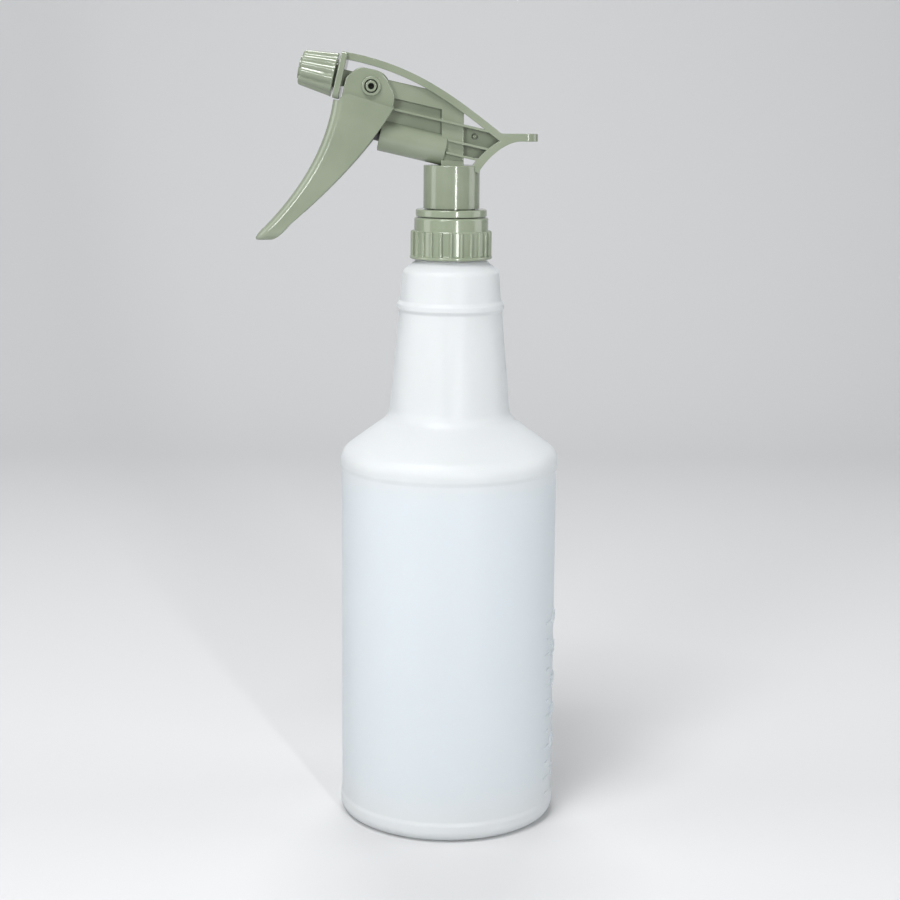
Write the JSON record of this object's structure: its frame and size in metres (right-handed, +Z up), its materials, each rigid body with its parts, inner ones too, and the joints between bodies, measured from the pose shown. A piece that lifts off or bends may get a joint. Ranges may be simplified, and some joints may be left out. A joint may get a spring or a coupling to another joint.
{
  "type": "trigger spray bottle",
  "caption": "Round translucent bottle with a long flared neck and a screwed-on trigger sprayer with a fluted adjustable nozzle, skeleton head and tail hook.",
  "frame": {"origin": "on the surface the bottle stands on, under the middle of the whole part's box", "axes": "+Z up the bottle, -X the way it sprays (the nozzle and trigger side), Y across it"},
  "size_m": [0.121, 0.0882, 0.311],
  "materials": {
    "bottle_hdpe": "satin milky translucent",
    "sprayer_plastic": "moulded, semi-gloss",
    "soft_seal": "soft matt",
    "tube_plastic": "satin translucent",
    "white_plastic": "satin",
    "dark_rubber": "matt",
    "spring_steel": "bright drawn wire",
    "ball_glass": "polished",
    "dark_plastic": "satin, dark grey"
  },
  "bodies": {
    "bottle": {"bottle": "bottle_hdpe"},
    "head": {"sprayer_body": "sprayer_plastic", "tube_retainer": "sprayer_plastic", "neck_gasket": "soft_seal", "dip_tube": "tube_plastic", "rod_guide": "white_plastic", "plug_pin": "white_plastic", "outlet_seat": "soft_seal", "spinner": "white_plastic", "return_spring": "spring_steel", "outlet_spring": "spring_steel"},
    "collar": {"collar": "sprayer_plastic"},
    "trigger": {"trigger": "sprayer_plastic"},
    "piston": {"piston": "dark_plastic", "piston_cup": "dark_rubber", "piston_wiper": "dark_rubber"},
    "inlet_ball": {"inlet_ball": "ball_glass"},
    "outlet_ball": {"outlet_ball": "spring_steel"},
    "nozzle_carrier": {"nozzle_seal": "dark_rubber"},
    "nozzle": {"nozzle_cap": "sprayer_plastic"}
  },
  "joints": [
    {"name": "head_rise", "type": "slide", "parent": "bottle", "child": "head", "axis": [0, 0, 1], "range_m": [0, 0.0054]},
    {"name": "collar_turn", "type": "hinge", "parent": "head", "child": "collar", "pos_m": [0.01636, 0, 0.238], "axis": [0, 0, 1], "range_deg": [0, 460]},
    {"name": "trigger_pull", "type": "hinge", "parent": "head", "child": "trigger", "pos_m": [-0.01529, 0, 0.29719], "axis": [0, -1, 0], "range_deg": [0, 24], "stiffness_Nm_per_rad": 1.1, "springref_deg": -14.32, "deforming": ["return_spring"]},
    {"name": "piston_slide", "type": "slide", "parent": "head", "child": "piston", "axis": [0.9763, 0, -0.2164], "range_m": [0, 0.00739]},
    {"name": "inlet_ball_lift", "type": "slide", "parent": "head", "child": "inlet_ball", "axis": [0, 0, 1], "range_m": [0, 0.001]},
    {"name": "outlet_ball_lift", "type": "slide", "parent": "head", "child": "outlet_ball", "axis": [-0.9763, 0, 0.2164], "range_m": [0, 0.001], "stiffness_N_per_m": 60, "springref_m": -0.002, "deforming": ["outlet_spring"]},
    {"name": "nozzle_travel", "type": "slide", "parent": "head", "child": "nozzle_carrier", "axis": [-0.9763, 0, 0.2164], "range_m": [-0.00075, 0.003]},
    {"name": "nozzle_turn", "type": "hinge", "parent": "nozzle_carrier", "child": "nozzle", "pos_m": [-0.02884, 0, 0.30122], "axis": [-0.9763, 0, 0.2164], "range_deg": [-135, 540]}
  ],
  "couplings": [
    {"joint": "collar_turn", "follows": "head_rise", "rad_per_m": 1484.3},
    {"joint": "piston_slide", "follows": "trigger_pull", "m_per_rad": 0.0176},
    {"joint": "nozzle_turn", "follows": "nozzle_travel", "rad_per_m": 3141.6}
  ]
}
